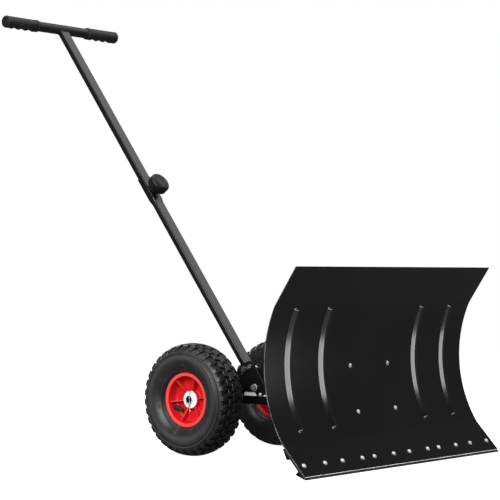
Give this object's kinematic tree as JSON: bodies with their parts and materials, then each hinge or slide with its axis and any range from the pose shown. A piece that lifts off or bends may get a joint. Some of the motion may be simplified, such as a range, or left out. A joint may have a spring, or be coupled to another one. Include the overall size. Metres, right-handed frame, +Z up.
{
  "type": "wheeled snow shovel",
  "caption": "Two-wheeled push snow shovel: a curved steel blade with a rubber scraper edge, a short frame on pneumatic wheels and a long tilting handle with a cross bar.",
  "frame": {"origin": "centre of the bounding box's bottom face, on the ground", "axes": "+Z up, the blade faces -Y and the handle leans back towards +Y, +X to the right seen from the front"},
  "size_m": [0.74, 1.1126, 1.0735],
  "materials": {
    "zinc_steel": "bright zinc plated steel",
    "black_steel": "satin black powder coat on steel",
    "blade_steel": "satin black coated steel sheet with bare cut edges",
    "scraper_rubber": "matte black rubber",
    "tyre_rubber": "matte black moulded tyre rubber",
    "tube_rubber": "smooth black rubber",
    "rim_plastic": "red moulded plastic with a soft gloss",
    "black_plastic": "fine grained black moulded plastic",
    "grip_rubber": "matte black grip rubber"
  },
  "bodies": {
    "frame": {"axle_tube": "zinc_steel", "axle_sleeve": "black_steel", "axle_washers": "zinc_steel", "split_pins": "zinc_steel", "side_plate_left": "black_steel", "side_plate_right": "black_steel", "side_plate_screws": "zinc_steel", "base_bar": "zinc_steel", "base_bar_bolts": "zinc_steel", "base_bar_nuts": "zinc_steel", "frame_beam": "black_steel", "beam_end_plug": "black_plastic", "king_pin_bush": "zinc_steel", "handle_pivot_bolt": "zinc_steel", "handle_pivot_nut": "zinc_steel", "handle_pivot_washers": "zinc_steel", "pivot_spacers": "black_plastic", "swivel_lock_bolt": "zinc_steel", "swivel_lock_washer": "zinc_steel", "swivel_lock_nut": "zinc_steel"},
    "wheel_left": {"tyre_left": "tyre_rubber", "inner_tube_left": "tube_rubber", "rim_left": "rim_plastic", "valve_left": "tube_rubber", "bushes_left": "zinc_steel"},
    "wheel_right": {"tyre_right": "tyre_rubber", "inner_tube_right": "tube_rubber", "rim_right": "rim_plastic", "valve_right": "tube_rubber", "bushes_right": "zinc_steel"},
    "handle_lower": {"lower_tube": "black_steel", "tilt_lock_bolt": "zinc_steel", "tilt_lock_nut": "zinc_steel", "clamp_bolt": "zinc_steel"},
    "handle_upper": {"upper_tube": "black_steel", "cross_bar": "black_steel", "grip_left": "grip_rubber", "grip_right": "grip_rubber"},
    "clamp_knob": {"clamp_knob": "black_plastic", "knob_insert": "zinc_steel"},
    "blade": {"blade_sheet": "blade_steel", "scraper_rubber": "scraper_rubber", "scraper_rail": "black_steel", "scraper_bolts": "zinc_steel", "scraper_nuts": "zinc_steel", "blade_bracket": "black_steel", "bracket_bolts": "zinc_steel", "bracket_nuts": "zinc_steel", "sector_plate": "zinc_steel", "sector_bolts": "zinc_steel", "sector_nuts": "zinc_steel", "king_pin": "zinc_steel", "king_pin_nut": "zinc_steel"}
  },
  "joints": [
    {"name": "wheel_left_spin", "type": "hinge", "parent": "frame", "child": "wheel_left", "pos_m": [-0.16, -0.06276, 0.13], "axis": [1, 0, 0], "continuous": true},
    {"name": "wheel_right_spin", "type": "hinge", "parent": "frame", "child": "wheel_right", "pos_m": [0.16, -0.06276, 0.13], "axis": [1, 0, 0], "continuous": true},
    {"name": "handle_tilt", "type": "hinge", "parent": "frame", "child": "handle_lower", "pos_m": [0, -0.12926, 0.153], "axis": [1, 0, 0], "range_deg": [-12, 19]},
    {"name": "handle_length", "type": "slide", "parent": "handle_lower", "child": "handle_upper", "axis": [0, 0.5948, 0.8039], "range_m": [0, 0.015]},
    {"name": "knob_turn", "type": "hinge", "parent": "handle_lower", "child": "clamp_knob", "pos_m": [0, 0.2193, 0.62406], "axis": [0, -0.8039, 0.5948], "range_deg": [0, 720]},
    {"name": "blade_swivel", "type": "hinge", "parent": "frame", "child": "blade", "pos_m": [0, -0.37426, 0.133], "axis": [0, 0, 1], "range_deg": [-30, 30]}
  ]
}
